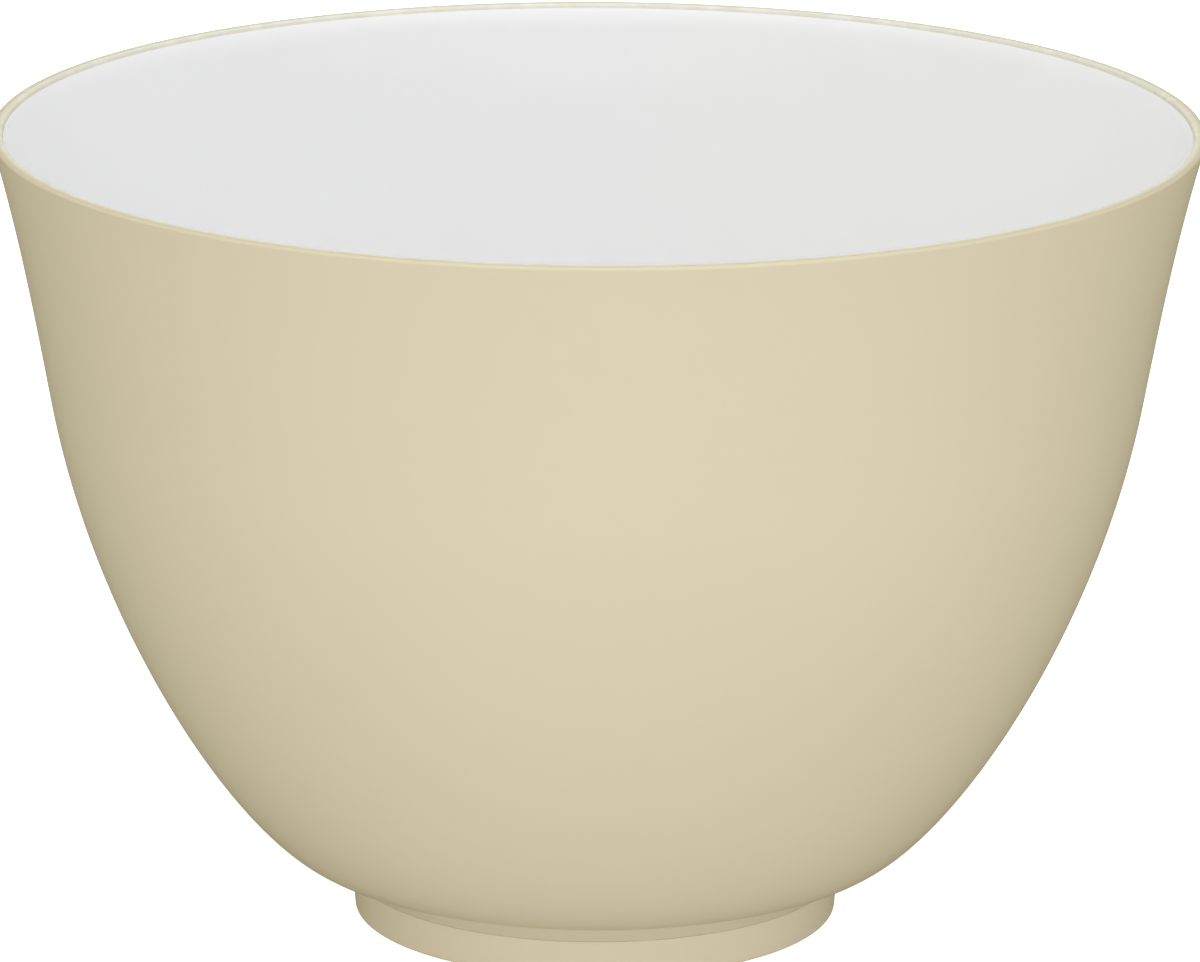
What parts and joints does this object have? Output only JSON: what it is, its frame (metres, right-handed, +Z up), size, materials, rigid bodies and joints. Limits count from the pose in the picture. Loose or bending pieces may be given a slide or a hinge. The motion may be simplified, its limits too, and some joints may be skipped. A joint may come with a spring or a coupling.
{
  "type": "salad bowl",
  "caption": "Deep round salad bowl with a slightly flared rim, a cream outer shell, a white inner liner and a low round foot ring to stand on.",
  "frame": {"origin": "centre of the foot ring's bearing face, where the bowl's axis meets the table", "axes": "+Z up the bowl's axis towards the rim; the bowl is round, so +X and +Y are free"},
  "size_m": [0.2504, 0.2504, 0.1685],
  "materials": {
    "cream_shell": "satin cream moulded plastic",
    "white_liner": "smooth white moulded plastic with a soft gloss",
    "cream_foot": "satin cream moulded plastic"
  },
  "bodies": {
    "root": {"outer_shell": "cream_shell", "inner_liner": "white_liner", "foot_ring": "cream_foot"}
  },
  "joints": []
}
